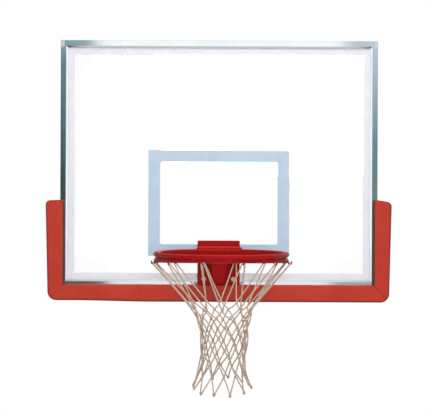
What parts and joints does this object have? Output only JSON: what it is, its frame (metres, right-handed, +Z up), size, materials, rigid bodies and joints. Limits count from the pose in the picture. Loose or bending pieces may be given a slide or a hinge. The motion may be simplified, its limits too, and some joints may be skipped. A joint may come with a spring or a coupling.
{
  "type": "basketball backboard",
  "caption": "Rectangular glass basketball backboard in an aluminium frame with foam edge padding, a fixed double-ring goal on a welded bracket and a knotted cord net",
  "frame": {"origin": "Centre of the four rear mounting holes, on the plane of the rear mounting faces, which is also the centre of the board in width and height", "axes": "+X to the right seen from the front, +Y to the rear, away from the players, +Z up; the glass faces -Y"},
  "size_m": [1.4855, 0.6951, 1.3848],
  "materials": {
    "glass": "clear tempered glass, faint green at the edge",
    "black_rubber": "matt black extruded rubber",
    "border_enamel": "fired white enamel line",
    "target_enamel": "fired pale blue enamel line",
    "aluminium": "brushed and anodised extrusion",
    "cast_aluminium": "plain cast key",
    "zinc_steel": "bright zinc plate",
    "goal_paint": "red powder coat on steel",
    "bracket_steel": "dark grey powder coat on steel",
    "bushing_plastic": "plain nylon",
    "net_cord": "braided off-white nylon cord",
    "pad_foam": "self-skinned orange-red foam"
  },
  "bodies": {
    "root": {"glass_panel": "glass", "glazing_gasket": "black_rubber", "border_line": "border_enamel", "target_rectangle": "target_enamel", "frame_bottom": "aluminium", "frame_top": "aluminium", "frame_left": "aluminium", "frame_right": "aluminium", "corner_keys": "cast_aluminium", "corner_key_screws": "zinc_steel", "goal_back_plate": "goal_paint", "goal_gasket_front": "black_rubber", "goal_gasket_rear": "black_rubber", "goal_bearing_plate": "bracket_steel", "goal_anchor_plate": "bracket_steel", "glass_bushings": "bushing_plastic", "goal_spacer_tubes": "zinc_steel", "goal_washers": "zinc_steel", "goal_bolts": "zinc_steel", "goal_nuts": "zinc_steel", "anchor_bolts": "zinc_steel", "upper_ring": "goal_paint", "lower_ring": "goal_paint", "ring_web": "goal_paint", "goal_flange": "goal_paint", "goal_brace": "goal_paint", "net_hooks": "goal_paint", "net": "net_cord", "edge_pad_left": "pad_foam", "edge_pad_right": "pad_foam", "edge_pad_bottom": "pad_foam", "pad_screws": "zinc_steel", "mount_bracket_lower_left": "bracket_steel", "mount_bracket_upper_left": "bracket_steel", "mount_bracket_lower_right": "bracket_steel", "mount_bracket_upper_right": "bracket_steel", "bracket_screws": "zinc_steel"}
  },
  "joints": []
}
